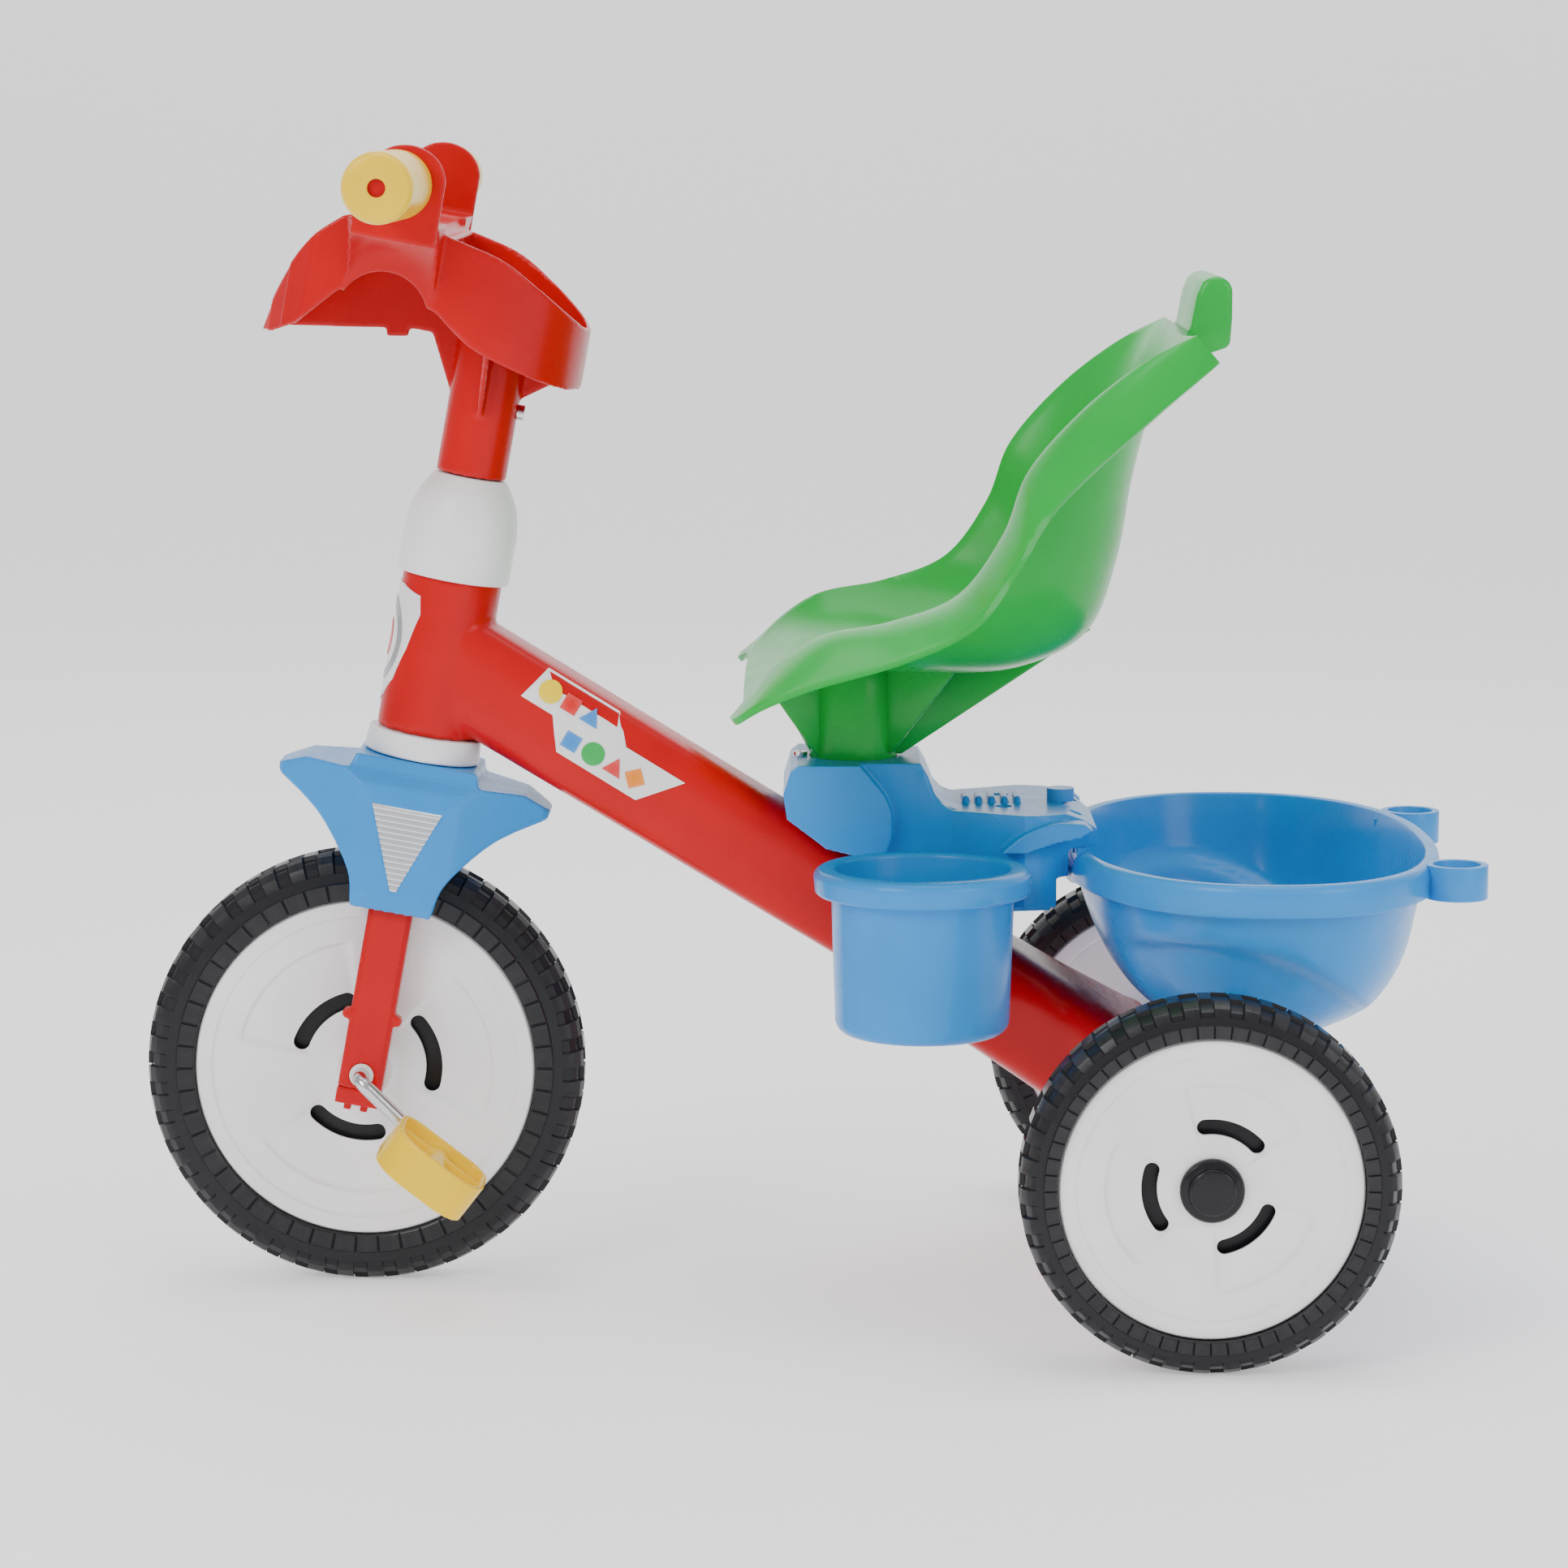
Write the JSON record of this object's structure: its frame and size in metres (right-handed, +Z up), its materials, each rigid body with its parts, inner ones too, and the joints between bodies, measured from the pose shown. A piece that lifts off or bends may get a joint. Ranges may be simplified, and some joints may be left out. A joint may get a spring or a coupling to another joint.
{
  "type": "children's tricycle",
  "caption": "Moulded plastic children's tricycle with crank-driven front wheel, bucket seat, steering fork, drink cup and rear basket",
  "frame": {"origin": "on the ground under the middle of the bounding box", "axes": "+X points to the rear, +Y to the tricycle's right side, +Z up"},
  "size_m": [0.72, 0.49, 0.6211],
  "materials": {
    "red_plastic": "glossy moulded polypropylene",
    "blue_plastic": "glossy moulded polypropylene",
    "green_plastic": "glossy moulded polypropylene",
    "yellow_plastic": "glossy moulded polypropylene",
    "white_plastic": "glossy moulded polypropylene",
    "nylon": "natural nylon",
    "label_film": "printed vinyl film without lettering",
    "tyre_plastic": "blow-moulded hollow plastic with moulded tread",
    "black_plastic": "satin moulded plastic",
    "reflector": "ribbed clear and silver plastic",
    "zinc_steel": "bright zinc plated steel"
  },
  "bodies": {
    "frame": {"main_frame": "red_plastic", "head_cap": "white_plastic", "lower_collar": "white_plastic", "upper_bush": "nylon", "lower_bush": "nylon", "head_badge": "label_film", "side_label_left": "label_film", "side_label_right": "label_film", "seat_base": "blue_plastic", "seat_base_screws": "zinc_steel", "cup": "blue_plastic", "cup_screws": "zinc_steel", "basket": "blue_plastic", "basket_screws": "zinc_steel", "basket_knob": "blue_plastic", "seat": "green_plastic", "seat_bolt": "zinc_steel", "seat_nut": "zinc_steel", "rear_axle": "zinc_steel", "rear_axle_bushes": "nylon", "rear_axle_washers": "zinc_steel", "rear_push_nuts": "zinc_steel"},
    "steering": {"fork": "red_plastic", "steerer_tube": "zinc_steel", "fork_bushes": "nylon", "axle_clip_left": "red_plastic", "axle_clip_right": "red_plastic", "fork_guard": "blue_plastic", "reflector_left": "reflector", "reflector_right": "reflector", "handlebar": "red_plastic", "grip_left": "yellow_plastic", "grip_right": "yellow_plastic", "stem_bolt": "zinc_steel", "stem_nut": "zinc_steel"},
    "front_wheel": {"front_tyre": "tyre_plastic", "front_rim_left": "white_plastic", "front_rim_right": "white_plastic", "crank_axle": "zinc_steel", "drive_dog": "zinc_steel", "pedal_push_nuts": "zinc_steel"},
    "pedal_left": {"pedal_left": "yellow_plastic"},
    "pedal_right": {"pedal_right": "yellow_plastic"},
    "rear_wheel_left": {"rear_tyre_left": "tyre_plastic", "rear_rim_outer_left": "white_plastic", "rear_rim_inner_left": "white_plastic", "hub_cap_left": "black_plastic"},
    "rear_wheel_right": {"rear_tyre_right": "tyre_plastic", "rear_rim_outer_right": "white_plastic", "rear_rim_inner_right": "white_plastic", "hub_cap_right": "black_plastic"}
  },
  "joints": [
    {"name": "steer", "type": "hinge", "parent": "frame", "child": "steering", "pos_m": [-0.24, 0, 0.12], "axis": [0.1822, 0, 0.9833], "range_deg": [-60, 60]},
    {"name": "front_wheel_spin", "type": "hinge", "parent": "steering", "child": "front_wheel", "pos_m": [-0.24, 0, 0.12], "axis": [0, 1, 0], "continuous": true},
    {"name": "pedal_left_spin", "type": "hinge", "parent": "front_wheel", "child": "pedal_left", "pos_m": [-0.19899, -0.077, 0.07899], "axis": [0, 1, 0], "continuous": true},
    {"name": "pedal_right_spin", "type": "hinge", "parent": "front_wheel", "child": "pedal_right", "pos_m": [-0.28101, 0.077, 0.16101], "axis": [0, 1, 0], "continuous": true},
    {"name": "rear_wheel_left_spin", "type": "hinge", "parent": "frame", "child": "rear_wheel_left", "pos_m": [0.207, -0.194, 0.0975], "axis": [0, 1, 0], "continuous": true},
    {"name": "rear_wheel_right_spin", "type": "hinge", "parent": "frame", "child": "rear_wheel_right", "pos_m": [0.207, 0.194, 0.0975], "axis": [0, 1, 0], "continuous": true}
  ]
}
